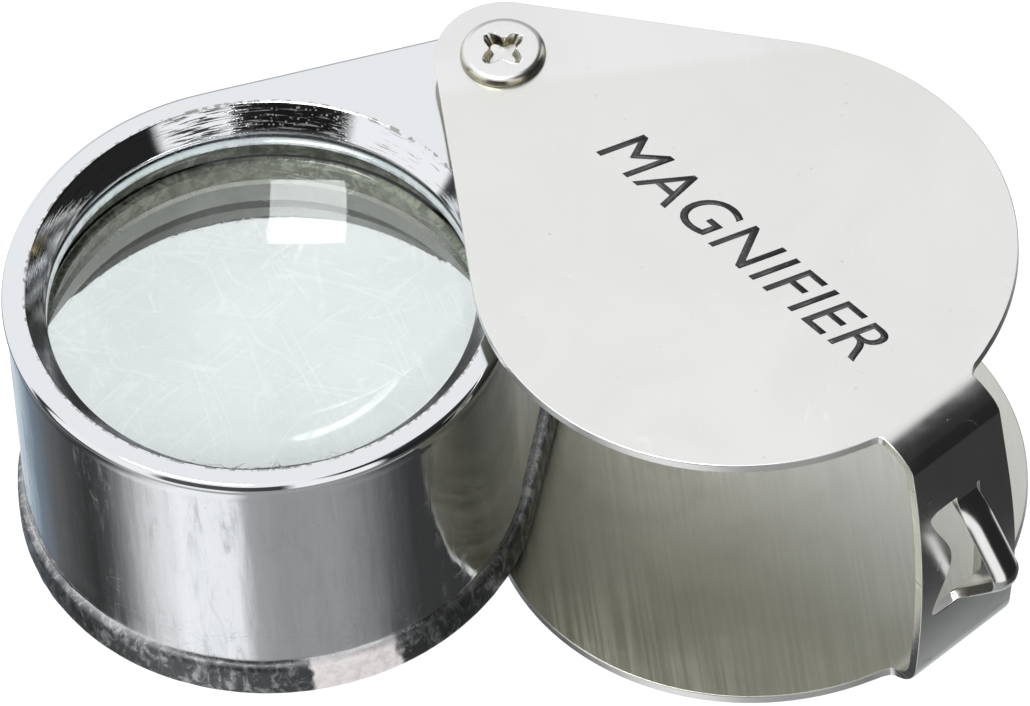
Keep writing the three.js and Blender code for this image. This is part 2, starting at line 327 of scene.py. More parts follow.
def scratches_group():
    """Fine, slightly curved scratches in three crossing directions, broken into short strokes."""
    n, given, out = node_group(
        "scratches",
        [("Vector", VECTOR, None), ("Scale", FLOAT, 1000.0),
         ("Amount", FLOAT, 0.5), ("Turn", FLOAT, 0.4)],
        [("Mask", FLOAT)])
    total = None
    for index, extra in enumerate((0.0, 0.9, 2.1)):
        turn = n.add("ShaderNodeCombineXYZ")
        n.link(n.plus(given["Turn"], extra), turn.inputs["Z"])
        move = (0.003 * index, 0.007 * index, 0.002 * index)
        turned = n.mapping(given["Vector"], turn=turn.outputs[0], move=move)
        long = n.noise(n.mapping(turned, scale=(0.06, 1.0, 1.0)), given["Scale"], 0.0)
        off = n.math("ABSOLUTE", n.minus(long, 0.5))
        stroke = n.band(off, 0.0, 0.012, 1.0, 0.0)
        patches = n.noise(turned, n.times(given["Scale"], 0.6), 2.0)
        threshold = n.minus(0.66, n.times(given["Amount"], 0.25))
        kept = n.band(patches, threshold, n.plus(threshold, 0.08))
        one = n.times(stroke, kept)
        total = one if total is None else n.larger(total, one)
    n.link(total, out["Mask"])
    return n.tree


def brushing_group():
    """Long fine grain along the turned X direction: a height and a slow patchiness."""
    n, given, out = node_group(
        "brushing",
        [("Vector", VECTOR, None), ("Turn", FLOAT, 0.6),
         ("Scale", FLOAT, 9000.0)],
        [("Grain", FLOAT), ("Patches", FLOAT)])
    turn = n.add("ShaderNodeCombineXYZ")
    n.link(given["Turn"], turn.inputs["Z"])
    turned = n.mapping(given["Vector"], turn=turn.outputs[0])
    fine = n.noise(n.mapping(turned, scale=(0.02, 1.0, 1.0)), given["Scale"], 3.0, 0.6)
    coarse = n.noise(n.mapping(turned, scale=(0.05, 1.0, 1.0)), n.times(given["Scale"], 0.25), 2.0)
    n.link(n.plus(n.times(fine, 0.65), n.times(coarse, 0.35)), out["Grain"])
    n.link(n.noise(turned, 150.0, 4.0, 0.55, 0.6), out["Patches"])
    return n.tree


def smudge_group():
    """Finger haze and dried spots, from 0 to 1."""
    n, given, out = node_group(
        "smudges",
        [("Vector", VECTOR, None), ("Scale", FLOAT, 180.0)],
        [("Haze", FLOAT), ("Specks", FLOAT)])
    haze = n.noise(given["Vector"], given["Scale"], 6.0, 0.62, 1.4)
    n.link(n.band(haze, 0.45, 0.72), out["Haze"])
    dots = n.cells(given["Vector"], n.times(given["Scale"], 9.0))
    spread = n.noise(given["Vector"], n.times(given["Scale"], 2.5), 2.0)
    n.link(n.times(n.band(dots, 0.05, 0.16, 1.0, 0.0), n.band(spread, 0.55, 0.7)), out["Specks"])
    return n.tree


SCRATCHES = scratches_group()
BRUSHING = brushing_group()
SMUDGES = smudge_group()


def use(n, group, **values):
    node = n.add("ShaderNodeGroup", node_tree=group)
    for key, value in values.items():
        n.feed(node.inputs[key], value)
    return node.outputs


def new_material(name):
    """A material with a Principled shader: its helper, the shader's inputs and object coordinates."""
    material = bpy.data.materials.new(name)
    material.use_nodes = True
    material.node_tree.nodes.clear()
    n = Nodes(material.node_tree)
    shader = n.add("ShaderNodeBsdfPrincipled")
    output = n.add("ShaderNodeOutputMaterial")
    n.link(shader.outputs[0], output.inputs["Surface"])
    here = n.add("ShaderNodeTexCoord").outputs["Object"]
    return material, n, shader.inputs, here


STRAP_ENDS = (12.1 * MM, 12.9 * MM)
# where a painted reflection, a darker warm band, starts and ends across the upper cheek
PAINTED_REFLECTION_BAND = (11.9 * MM, 11.0 * MM)


def satin_steel():
    """The cover: brushed and lightly polished stainless sheet."""
    material, n, shader, here = new_material("satin_steel")
    brush = use(n, BRUSHING, Vector=here, Turn=0.75, Scale=15000.0)
    marks = use(n, SCRATCHES, Vector=here, Scale=700.0, Amount=0.2, Turn=0.9)
    haze = use(n, SMUDGES, Vector=here, Scale=160.0)
    split = n.add("ShaderNodeSeparateXYZ")
    n.link(here, split.inputs[0])
    strap = n.band(split.outputs["X"], *STRAP_ENDS)
    tint = n.mix(n.band(brush["Patches"], 0.35, 0.7), (0.84, 0.845, 0.84, 1), (0.88, 0.885, 0.88, 1))
    # painted reflection: a darker warm grey band across the cheek, mixed into the tint
    across = n.plus(n.times(split.outputs["X"], -0.81), n.times(split.outputs["Y"], 0.59))
    start = n.band(across, *PAINTED_REFLECTION_BAND)
    painted_reflection = n.times(start, n.band(across, 4.0 * MM, 11.0 * MM, 0.35, 1.0))
    tint = n.mix(n.times(painted_reflection, 0.5), tint, (0.80, 0.80, 0.755, 1))
    n.link(n.mix(n.times(haze["Specks"], 0.4), tint, (0.5, 0.49, 0.46, 1)), shader["Base Color"])
    shader["Metallic"].default_value = 1.0
    satin = n.band(brush["Grain"], 0.3, 0.7, 0.27, 0.33)
    polished = n.band(brush["Patches"], 0.3, 0.7, 0.15, 0.27)
    blend = n.add("ShaderNodeMix", data_type="FLOAT")
    n.link(strap, blend.inputs["Factor"])
    n.link(satin, blend.inputs[2])
    n.link(polished, blend.inputs[3])
    rough = n.plus(blend.outputs[0], n.times(haze["Haze"], 0.06))
    n.link(n.plus(rough, n.times(marks["Mask"], 0.15)), shader["Roughness"])
    grain = n.bump(brush["Grain"], 0.0007 * MM, 0.5)
    waves = n.bump(n.noise(here, 120.0, 1.0), 0.04 * MM, 0.5, grain)
    n.link(n.bump(n.minus(1.0, marks["Mask"]), 0.004 * MM, 0.5, waves), shader["Normal"])
    return material


def inner_steel():
    """The cover's inside: the same sheet, left as rolled and belt-dragged, duller and yellower."""
    material, n, shader, here = new_material("inner_steel")
    brush = use(n, BRUSHING, Vector=here, Turn=0.62, Scale=5200.0)
    haze = use(n, SMUDGES, Vector=here, Scale=130.0)
    tone = n.mix(n.band(brush["Patches"], 0.3, 0.7), (0.56, 0.545, 0.455, 1), (0.66, 0.65, 0.56, 1))
    split = n.add("ShaderNodeSeparateXYZ")
    n.link(here, split.inputs[0])
    # painted light: the inside is painted lighter towards +Y, where light comes in through the window
    painted_light_place = n.band(split.outputs["Y"], -6.5 * MM, 4.0 * MM)
    tone = n.mix(painted_light_place, tone, (0.78, 0.78, 0.735, 1))
    streaked = n.mix(n.band(brush["Grain"], 0.42, 0.62), n.mix(0.2, tone, (0.3, 0.3, 0.25, 1)), tone)
    n.link(streaked, shader["Base Color"])
    shader["Metallic"].default_value = 1.0
    rough = n.band(brush["Grain"], 0.3, 0.7, 0.28, 0.42)
    n.link(n.plus(rough, n.times(haze["Haze"], 0.08)), shader["Roughness"])
    n.link(n.bump(brush["Grain"], 0.008 * MM, 0.6), shader["Normal"])
    return material


PITTED_MIDDLE = math.radians(130)
PITTED_HALF = math.radians(13.5)
BRUSHED_OFF = math.radians(155)
FOOT_TOP = (2.7 * MM, 3.3 * MM)
WALL_TOP = (14.9 * MM, 15.3 * MM)
CURLS_TOP = (3.0 * MM, 8.0 * MM)
# the angle round the lens axis of the painted reflection on the foot, and its half width
PAINTED_REFLECTION_ANGLE = math.radians(-24)
PAINTED_REFLECTION_HALF = math.radians(9)


def around_lens(n, here):
    """Place round the lens axis: the distance from it, the angle round it and the height."""
    moved = n.add("ShaderNodeVectorMath", operation="SUBTRACT")
    n.link(here, moved.inputs[0])
    moved.inputs[1].default_value = LENS_AXIS
    split = n.add("ShaderNodeSeparateXYZ")
    n.link(moved.outputs[0], split.inputs[0])
    x, y, z = split.outputs
    distance = n.math("SQRT", n.plus(n.times(x, x), n.times(y, y)))
    return distance, n.math("ARCTAN2", y, x), z


def near_angle(n, angle, middle, half, soft):
    """1 within half of a middle angle, falling to 0 over soft radians."""
    off = n.math("ABSOLUTE", n.minus(angle, middle))
    return n.band(off, half, half + soft, 1.0, 0.0)


def turning_marks(n, distance, angle, height, fine=12.0, length=7.0):
    """Streaks that run round the lens axis."""
    where = n.add("ShaderNodeCombineXYZ")
    n.link(n.times(distance, fine / MM), where.inputs["X"])
    n.link(n.times(angle, length), where.inputs["Y"])
    n.link(n.times(height, fine / MM), where.inputs["Z"])
    return n.noise(where.outputs[0], 1.0, 3.0, 0.6)


HALF_GREY = (0.42, 0.42, 0.42, 1)


def chrome():
    """The barrel: bright plate on a polished casting, hazed by handling, rough at the foot."""
    material, n, shader, here = new_material("bright_chrome")
    distance, angle, height = around_lens(n, here)
    foot = n.band(height, *FOOT_TOP, 1.0, 0.0)
    wall = n.band(height, *WALL_TOP, 1.0, 0.0)
    streaks = turning_marks(n, distance, angle, height)

    # the bevelled mouth: turning marks, a worn edge and a patch where the plate has blistered
    below_top = n.band(height, BARREL_HIGH.z - 0.06 * MM, BARREL_HIGH.z - 0.03 * MM, 1.0, 0.0)
    bevel = n.times(n.times(n.minus(1.0, wall), below_top),
                   n.band(distance, MOUTH_R, MOUTH_R + 0.05 * MM, 1.0, 0.0))
    ragged = n.plus(angle, n.times(n.minus(streaks, 0.5), 0.35))
    spot = n.times(near_angle(n, ragged, PITTED_MIDDLE, PITTED_HALF, 0.02), bevel)
    worn = n.times(bevel, n.band(streaks, 0.60, 0.66))
    dots = n.band(n.cells(here, 5200.0), 0.20, 0.34, 1.0, 0.0)
    flecks = n.times(dots, n.band(n.noise(here, 2600.0, 2.0), 0.42, 0.55))
    bright = n.larger(flecks, n.band(streaks, 0.56, 0.64))
    brushed_off = near_angle(n, angle, BRUSHED_OFF, math.radians(3), math.radians(9))
    brushed_off = n.times(brushed_off, bevel)
    streaked = n.times(brushed_off, n.band(streaks, 0.49, 0.55))
    rim = n.times(n.band(distance, MOUTH_R - 0.09 * MM, MOUTH_R - 0.03 * MM),
                 n.band(distance, MOUTH_R + 0.08 * MM, MOUTH_R + 0.14 * MM, 1.0, 0.0))
    nicked = n.times(n.times(rim, n.minus(1.0, wall)),
                    n.band(n.noise(here, 1900.0, 3.0, 0.7), 0.47, 0.56))

    # the wall: handling haze in fine upright wisps
    haze = use(n, SMUDGES, Vector=here, Scale=170.0)
    marks = use(n, SCRATCHES, Vector=here, Scale=520.0, Amount=0.45, Turn=1.5)
    upright = n.mapping(here, scale=(1.0, 1.0, 0.16))
    wisps = n.band(n.noise(upright, 1500.0, 7.0, 0.72, 0.5), 0.42, 0.74)
    curls = n.band(n.noise(here, 1150.0, 8.0, 0.76, 1.5), 0.46, 0.70)
    low_down = n.band(height, *CURLS_TOP, 1.0, 0.25)
    patches = n.band(n.noise(n.mapping(here, scale=(1.0, 1.0, 0.4)), 260.0, 3.0, 0.6), 0.36, 0.62)
    smeared = n.larger(wisps, n.times(curls, low_down))
    hazed = n.times(n.times(smeared, n.plus(0.3, n.times(patches, 0.7))), wall)
    plate = n.mix(hazed, (0.83, 0.85, 0.875, 1), (0.70, 0.73, 0.745, 1))

    # the foot: rough, dark casting skin, partly painted shade, with a painted pinkish-white reflection in one
    # place
    # painted reflection: a pale pinkish patch at one angle round the foot
    painted_light_place = n.plus(angle, n.times(n.minus(n.noise(here, 900.0, 3.0), 0.5), 0.12))
    painted_reflection_mask = n.times(near_angle(n, painted_light_place, PAINTED_REFLECTION_ANGLE, PAINTED_REFLECTION_HALF, 0.03), foot)
    # rough mottled skin, its darkness partly painted shade for the dark that the foot reflects
    blotch = n.band(n.noise(n.mapping(here, scale=(1.0, 1.0, 0.6)), 1700.0, 7.0, 0.70, 0.7), 0.45, 0.66)
    skin_and_painted_shade = n.mix(blotch, (0.13, 0.135, 0.14, 1), (0.54, 0.55, 0.56, 1))
    painted_reflection_tone = n.band(n.noise(here, 1700.0, 5.0, 0.7), 0.38, 0.58)
    painted_reflection_tone = n.mix(painted_reflection_tone, (0.84, 0.78, 0.79, 1), (1.0, 0.95, 0.95, 1))
    skin_and_painted_shade = n.mix(painted_reflection_mask, skin_and_painted_shade, painted_reflection_tone)
    color = n.mix(n.times(haze["Specks"], 0.3), n.mix(foot, plate, skin_and_painted_shade), (0.4, 0.41, 0.42, 1))
    color = n.mix(worn, color, HALF_GREY)
    color = n.mix(nicked, color, (0.42, 0.42, 0.40, 1))
    color = n.mix(streaked, color, (0.05, 0.05, 0.05, 1))
    color = n.mix(spot, color, n.mix(bright, (0.035, 0.035, 0.035, 1), (0.85, 0.85, 0.84, 1)))
    n.link(color, shader["Base Color"])
    # the painted reflection is mostly non-metallic, so its pale colour shows under any light
    n.link(n.minus(1.0, n.times(painted_reflection_mask, 0.85)), shader["Metallic"])
    rough = n.plus(0.035, n.times(n.times(haze["Haze"], 0.06), wall))
    rough = n.plus(rough, n.times(hazed, 0.34))
    rough = n.plus(rough, n.times(n.times(marks["Mask"], wall), 0.12))
    rough = n.plus(rough, n.times(n.larger(foot, spot), 0.30))
    n.link(rough, shader["Roughness"])
    slow = n.times(n.noise(n.mapping(here, scale=(1.0, 1.0, 0.10)), 380.0, 3.0, 0.55), wall)
    quick = n.times(n.noise(upright, 1900.0, 5.0, 0.65), wall)
    waves = n.bump(slow, 0.045 * MM, 0.8)
    ripples = n.bump(quick, 0.006 * MM, 0.8, waves)
    grooves = n.bump(n.times(streaks, bevel), 0.004 * MM, 0.6, ripples)
    crust = n.times(n.noise(here, 2600.0, 4.0, 0.65), n.larger(foot, spot))
    n.link(n.bump(crust, 0.035 * MM, 0.8, grooves), shader["Normal"])
    return material


def turned_metal(name, color, rough, dark):
    """Machined or plated small parts with fine tool marks and tarnish in patches."""
    material, n, shader, here = new_material(name)
    haze = use(n, SMUDGES, Vector=here, Scale=500.0)
    tool = n.noise(n.mapping(here, scale=(1, 1, 6)), 5000.0, 3.0, 0.6)
    n.link(n.mix(n.times(haze["Haze"], 0.6), color, dark), shader["Base Color"])
    shader["Metallic"].default_value = 1.0
    n.link(n.band(tool, 0.3, 0.7, rough * 0.8, rough * 1.3), shader["Roughness"])
    n.link(n.bump(tool, 0.006 * MM, 0.5), shader["Normal"])
    return material


def worn_nickel():
    """The screw: bright on its flat top, tarnished olive down its flank and in its recess, with painted shade
    darkening it lower down.
    """
    material, n, shader, here = new_material("worn_nickel")
    split = n.add("ShaderNodeSeparateXYZ")
    n.link(here, split.inputs[0])
    tone = n.noise(here, 1800.0, 5.0, 0.65)
    below = n.band(split.outputs["Z"], SCREW_HIGH.z - 0.22 * MM, SCREW_HIGH.z - 0.02 * MM, 1.0, 0.0)
    uneven = n.times(below, n.band(tone, 0.25, 0.55, 0.65, 1.0))
    # painted shade: the tarnish darkens lower down the flank and deeper in the recess
    painted_shade_depth = n.band(split.outputs["Z"], SCREW_HIGH.z - 0.40 * MM, SCREW_HIGH.z - 0.10 * MM, 1.0, 0.0)
    fresh = n.mix(n.band(tone, 0.35, 0.65), (0.32, 0.30, 0.22, 1), (0.60, 0.57, 0.42, 1))
    tarnish_in_painted_shade = n.mix(n.band(tone, 0.35, 0.65), (0.14, 0.13, 0.08, 1), (0.42, 0.40, 0.28, 1))
    tarnish = n.mix(painted_shade_depth, fresh, tarnish_in_painted_shade)
    n.link(n.mix(uneven, (0.86, 0.865, 0.86, 1), tarnish), shader["Base Color"])
    shader["Metallic"].default_value = 1.0
    n.link(n.band(tone, 0.3, 0.7, 0.16, 0.26), shader["Roughness"])
    n.link(n.bump(tone, 0.010 * MM, 0.5), shader["Normal"])
    return material


def lens_glass(name, shine):
    """Polished glass with hairline scratches and dust; shine dims what its faces reflect."""
    material, n, shader, here = new_material(name)
    shader["Specular Tint"].default_value = (shine, shine, shine, 1)
    marks = use(n, SCRATCHES, Vector=here, Scale=620.0, Amount=0.75, Turn=2.6)
    fine = use(n, SCRATCHES, Vector=here, Scale=1500.0, Amount=0.6, Turn=0.3)
    haze = use(n, SMUDGES, Vector=here, Scale=230.0)
    shader["Transmission Weight"].default_value = 1.0
    shader["IOR"].default_value = 1.52
    lines = n.larger(marks["Mask"], n.times(fine["Mask"], 0.6))
    clouds = n.band(n.noise(here, 260.0, 4.0, 0.6, 0.6), 0.35, 0.7)
    clear = n.mix(clouds, (0.832, 0.870, 0.868, 1), (0.866, 0.902, 0.899, 1))
    pale = n.larger(n.times(lines, 0.75), haze["Specks"])
    n.link(n.mix(pale, clear, (0.975, 0.985, 0.985, 1)), shader["Base Color"])
    dull = n.plus(n.times(lines, 0.10), n.times(haze["Haze"], 0.015))
    n.link(dull, shader["Roughness"])
    height = n.plus(n.times(lines, 0.25), haze["Specks"])
    n.link(n.bump(height, 0.006 * MM, 0.5), shader["Normal"])
    return material


def mottled(name, dark, pale, metallic, rough):
    """Ground glass or blackened metal inside the barrel, blotched where the finish has gone."""
    material, n, shader, here = new_material(name)
    tone = n.noise(n.mapping(here, scale=(1.0, 1.0, 0.7)), 1500.0, 6.0, 0.72, 0.8)
    n.link(n.mix(n.band(tone, 0.40, 0.64), dark, pale), shader["Base Color"])
    shader["Metallic"].default_value = metallic
    n.link(n.band(tone, 0.3, 0.7, rough, rough * 1.4), shader["Roughness"])
    n.link(n.bump(n.noise(here, 9000.0, 2.0), 0.01 * MM, 0.6), shader["Normal"])
    return material


def printed_ink():
    """The marking's black ink, worn thin in specks."""
    material, n, shader, here = new_material("printed_ink")
    wear = n.noise(here, 3200.0, 4.0, 0.65)
    tone = n.mix(n.band(wear, 0.58, 0.72), (0.028, 0.028, 0.03, 1), (0.16, 0.16, 0.16, 1))
    n.link(tone, shader["Base Color"])
    n.link(n.band(wear, 0.3, 0.7, 0.38, 0.55), shader["Roughness"])
    n.link(n.bump(wear, 0.01 * MM, 0.5), shader["Normal"])
    return material


STEEL = satin_steel()
INSIDE = inner_steel()
CHROME = chrome()
SCREW_NICKEL = worn_nickel()
BRASS = turned_metal("brass", (0.72, 0.56, 0.28, 1), 0.3, (0.50, 0.36, 0.16, 1))
SPRING = turned_metal("spring_steel", (0.50, 0.50, 0.50, 1), 0.3, (0.33, 0.32, 0.31, 1))
ALLOY = turned_metal("turned_alloy", (0.36, 0.36, 0.33, 1), 0.45, (0.27, 0.27, 0.24, 1))
# painted light: a lighter copy of the turned alloy for the retaining ring, lifting the shade that falls on it
PAINTED_LIGHT_ALLOY = turned_metal("painted_light_alloy", (0.56, 0.56, 0.52, 1), 0.45, (0.44, 0.44, 0.40, 1))
GLASS = lens_glass("front_glass", 1.0)
REAR_GLASS = lens_glass("rear_glass", 0.08)
EDGE_GLASS = mottled("ground_glass", (0.25, 0.27, 0.20, 1), (0.62, 0.66, 0.54, 1), 0.0, 0.45)
OLIVE = mottled("olive_finish", (0.17, 0.18, 0.12, 1), (0.52, 0.54, 0.42, 1), 0.6, 0.40)
PALE_EDGE = mottled("bare_edge", (0.85, 0.85, 0.72, 1), (1.0, 0.99, 0.90, 1), 1.0, 0.20)
INK = printed_ink()


# ---- cover
def smooth_min(a, b, width):
    overlap = max(width - abs(a - b), 0) / width
    return min(a, b) - overlap * overlap * width / 4


def smooth_max(a, b, width):
    return -smooth_min(-a, -b, width)


JOIN_HALF = STRAP_HALF + STRAP_FILLET
JOIN_X = math.sqrt(ROUND_R ** 2 - JOIN_HALF ** 2)


def strap_half_width(x):
    """Half the strap's width: a small fillet where it leaves the cheek, then parallel."""
    left = JOIN_X + STRAP_FILLET - x
    if left <= 0:
        return STRAP_HALF
    return JOIN_HALF - math.sqrt(max(STRAP_FILLET ** 2 - left ** 2, 0))


def strap_relief(x, z):
    """How much narrower the strap is on its slit side, most of all under the upper bend."""
    into = min(max((x - JOIN_X) / STRAP_FILLET, 0), 1)
    up = min(max((z - RELIEF_FROM) / (RELIEF_FULL - RELIEF_FROM), 0), 1)
    return STRAP_RELIEF * into * up * up * (3 - 2 * up)


def bow_points(start, end, count=200):
    """The strap's bowed middle, between the ends of its two bends."""
    first = start + BOW * Vector((math.sin(UPPER_BEND["lean"]), -math.cos(UPPER_BEND["lean"])))
    last = end + BOW * Vector((math.sin(LOWER_BEND["lean"]), math.cos(LOWER_BEND["lean"])))
    points = []
    for i in range(count + 1):
        t = i / count
        s = 1 - t
        points.append(start * s ** 3 + first * (3 * s * s * t) + last * (3 * s * t * t) + end * t ** 3)
    return points


def height_on(points, z):
    """X on a falling run of (x, z) points, at the height z."""
    for a, b in zip(points, points[1:]):
        if b.y <= z <= a.y:
            return a.x + (b.x - a.x) * (a.y - z) / (a.y - b.y)
    return points[-1].x


def strap_rows():
    """Middle-surface rows (x, z) from the upper cheek down to the lower one."""
    half = SHEET / 2
    start = JOIN_X + BEND_LEAD
    up_a = UPPER_BEND["reach"] - half - start
    up_b = UPPER_BEND["drop"] - half
    rows = [Vector((JOIN_X, HEIGHT - half))]
    turn_end = math.atan2(up_a, up_b * math.tan(UPPER_BEND["lean"]))
    for i in range(UPPER_BEND_STEPS + 1):
        turn = turn_end * i / UPPER_BEND_STEPS
        rows.append(Vector((start + up_a * math.sin(turn), HEIGHT - half - up_b + up_b * math.cos(turn))))
    low_a = LOWER_BEND["reach"] - half - JOIN_X
    low_b = LOWER_BEND["r"] - half
    lower = []
    for i in range(LOWER_BEND_STEPS + 1):
        turn = (math.pi / 2 - LOWER_BEND["lean"]) * (LOWER_BEND_STEPS - i) / LOWER_BEND_STEPS
        lower.append(Vector((JOIN_X + low_a * math.sin(turn), LOWER_BEND["r"] - low_b * math.cos(turn))))
    bow = bow_points(rows[-1], lower[0])
    step = (WINDOW_TOP - WINDOW_LOW) / WINDOW_STEPS
    above = int((rows[-1].y - WINDOW_TOP) / step - 0.5)
    below = int((WINDOW_LOW - lower[0].y) / step - 0.5)
    for i in range(-above, WINDOW_STEPS + below + 1):
        z = WINDOW_TOP - i * step
        rows.append(Vector((height_on(bow, z), z)))
    return rows + lower


def window_half_width(z):
    """Half the window's width: wide at its ends, waisted beside the lug band, with round corners."""
    middle = (WINDOW_TOP + WINDOW_LOW) / 2
    away = min(abs(z - middle) / ((WINDOW_TOP - WINDOW_LOW) / 2), 1)
    blend = away * away * (3 - 2 * away)
    width = WINDOW_WAIST + (WINDOW_WIDE - WINDOW_WAIST) * blend
    into = WINDOW_CORNER - min(WINDOW_TOP - z, z - WINDOW_LOW)
    if into > 0:
        into = min(into, WINDOW_CORNER)
        width -= WINDOW_CORNER - math.sqrt(WINDOW_CORNER ** 2 - into ** 2)
    return width


def lug_offset(z):
    """How far the band stands out of the strap at a height."""
    upper = (LUG_TOP - z) / (LUG_TOP - LUG_TIP_Z)
    lower = (z - WINDOW_LOW) / (LUG_TIP_Z - WINDOW_LOW)
    peak = smooth_min(upper, lower, 0.3)
    return LUG_DEPTH * max(smooth_max(peak, 0, 0.12) - 0.03, 0) / 0.97


BAND_COLUMNS = (0.0, 0.25, 0.5, 0.7, 0.86, 1.0)


def strap_columns(row, slit):
    """Places across half the strap at one row, from its centre line to its edge."""
    x, z = row
    edge = strap_half_width(x) - (strap_relief(x, z) if slit else 0)
    side = window_half_width(z) if WINDOW_LOW <= z <= WINDOW_TOP else WINDOW_WIDE - WINDOW_CORNER
    if slit:
        side = SLIT
    offset = lug_offset(z) if WINDOW_LOW < z < LUG_TOP else 0
    crown = BAND_CROWN * min(offset / (0.3 * LUG_DEPTH), 1)
    places = []
    for part in BAND_COLUMNS:
        places.append(Vector((x + offset + crown * (1 - part * part), part * BAND_HALF, z)))
    for y in (side, (side + edge) / 2, edge):
        places.append(Vector((x, y, z)))
    return places


def half_cheek(bm, row, z):
    """Fills half a teardrop cheek, round to the pivot end, from the strap's first or last row."""
    lean = math.acos((ROUND_R - PIVOT_END_R) / -PIVOT.x)
    joined = math.asin(JOIN_HALF / ROUND_R)
    rim = [row[-1]]

    def arc(centre, angle, steps):
        bmesh.ops.spin(bm, geom=[rim[-1]], cent=centre, axis=(0, 0, 1), dvec=(0, 0, 0),
                       angle=angle, steps=steps, use_merge=False, use_duplicate=False)
        chain = rim[-1]
        for _ in range(steps):
            chain = next(e.other_vert(chain) for e in chain.link_edges
                         if e.other_vert(chain) not in rim and not e.link_faces)
            rim.append(chain)

    arc((0, 0, z), math.pi - lean - joined, CHEEK_STEPS)
    tangent = Vector((-math.cos(lean), math.sin(lean), 0))
    neck = bm.verts.new(PIVOT + tangent * PIVOT_END_R + Vector((0, 0, z)))
    bm.edges.new((rim[-1], neck))
    rim.append(neck)
    arc((PIVOT.x, PIVOT.y, z), lean, CHEEK_END_STEPS)
    bm.faces.new(rim + list(row[:-1]))


def cover_half(bm, slit):
    """One half of the sheet, on the +Y side: both half cheeks and half the strap with its cut."""
    rows = strap_rows()
    first = [bm.verts.new(p) for p in strap_columns(rows[0], slit)]
    edges = [bm.edges.new(pair) for pair in zip(first, first[1:])]
    last = first
    window = []
    for number, row in enumerate(rows[1:], 1):
        grown = bmesh.ops.extrude_edge_only(bm, edges=edges)["geom"]
        last = sorted((v for v in grown if isinstance(v, bmesh.types.BMVert)), key=lambda v: v.co.y)
        edges = [e for e in grown if isinstance(e, bmesh.types.BMEdge) and all(v in last for v in e.verts)]
        for vert, co in zip(last, strap_columns(row, slit)):
            vert.co = co
        middle = (row.y + rows[number - 1].y) / 2
        if WINDOW_LOW < middle < WINDOW_TOP:
            edge = bm.edges.get((last[len(BAND_COLUMNS) - 1], last[len(BAND_COLUMNS)]))
            window.append(edge.link_faces[0])
    half_cheek(bm, first, HEIGHT - SHEET / 2)
    half_cheek(bm, last, SHEET / 2)
    bmesh.ops.delete(bm, geom=window, context="FACES")


def cover():
    bm = bmesh.new()
    cover_half(bm, False)
    bmesh.ops.scale(bm, verts=bm.verts, vec=(1, -1, 1))
    cover_half(bm, True)
    bmesh.ops.remove_doubles(bm, verts=bm.verts, dist=1e-7)
    bmesh.ops.recalc_face_normals(bm, faces=bm.faces)
    upper = [f for f in bm.faces if f.calc_center_median().z > HEIGHT / 2]
    top = max(upper, key=lambda f: f.calc_area())
    if top.normal.z < 0:
        bmesh.ops.reverse_faces(bm, faces=bm.faces)
    obj = to_object("cover", bm)
    obj.data.materials.append(STEEL)
    obj.data.materials.append(INSIDE)
    wall = obj.modifiers.new("sheet", "SOLIDIFY")
    wall.material_offset = 1
    wall.thickness = SHEET
    wall.offset = 0
    wall.use_even_offset = True
    hole = to_object("hole", spun([(0, -MM), (PIVOT_HOLE, -MM), (PIVOT_HOLE, MM), (0, MM)], PIVOT, 64))
    cut(obj, hole)
    obj.data.shade_smooth()
    round_edges(obj, SHEET_ROUNDING)
    place(obj, "cover", "case_cover", ["case_cover"])


# ---- pivot parts
HEAD_R = SCREW_HIGH.x - PIVOT.x
HEAD_H = SCREW_HIGH.z - HEIGHT
HEAD_FLAT_R = HEAD_R - 0.40 * MM
HEAD_SIDE = 0.08 * MM
SHANK_R = 0.95 * MM
HEAD_STEPS = 8
WASHER_BORE = 2.0 * MM
SPRING_BORE = 2.05 * MM
SPRING_THICK = 0.25 * MM
SLEEVE_BORE = 1.0 * MM
SLEEVE_NECK_R = 1.5 * MM
RECESS = {"reach": 1.20 * MM, "waist": 0.66 * MM, "depth": 0.80 * MM, "foot": 0.40}


def recess():
    """The cross-shaped recess: four wings, with round lobes of the head standing in between them."""
    bm = bmesh.new()
    top = SCREW_HIGH.z + 0.02 * MM
    ring = bmesh.ops.create_circle(bm, cap_ends=True, segments=96, radius=RECESS["reach"])["verts"]
    for v in ring:
        wing = abs(math.cos(2 * math.atan2(v.co.y, v.co.x))) ** 2.2
        v.co *= (RECESS["waist"] + (RECESS["reach"] - RECESS["waist"]) * wing) / RECESS["reach"]
    grown = bmesh.ops.extrude_face_region(bm, geom=list(bm.faces))["geom"]
    for v in grown:
        if isinstance(v, bmesh.types.BMVert):
            v.co = v.co * RECESS["foot"] + Vector((0, 0, -RECESS["depth"]))
    bmesh.ops.recalc_face_normals(bm, faces=bm.faces)
    bmesh.ops.translate(bm, verts=bm.verts, vec=PIVOT + Vector((0, 0, top)))
    return to_object("recess", bm)


def screw():
    profile = [(0, SCREW_LOW.z), (SHANK_R * 0.8, SCREW_LOW.z), (SHANK_R, SCREW_LOW.z + 0.2 * MM)]
    profile += [(SHANK_R, HEIGHT), (HEAD_R - 0.05 * MM, HEIGHT), (HEAD_R, HEIGHT + 0.05 * MM)]
    for i in range(HEAD_STEPS + 1):
        turn = math.pi / 2 * i / HEAD_STEPS
        radius = HEAD_FLAT_R + (HEAD_R - HEAD_FLAT_R) * math.cos(turn)
        profile.append((radius, HEIGHT + HEAD_SIDE + (HEAD_H - HEAD_SIDE) * math.sin(turn)))
    profile.append((0, SCREW_HIGH.z))
    obj = to_object("screw", spun(profile, PIVOT, 96))
    cut(obj, recess())
    obj.data.shade_smooth()
    round_edges(obj, 0.035 * MM, 2, 40)
    place(obj, "cover", "pivot_screw", ["pivot_screw"], SCREW_NICKEL)


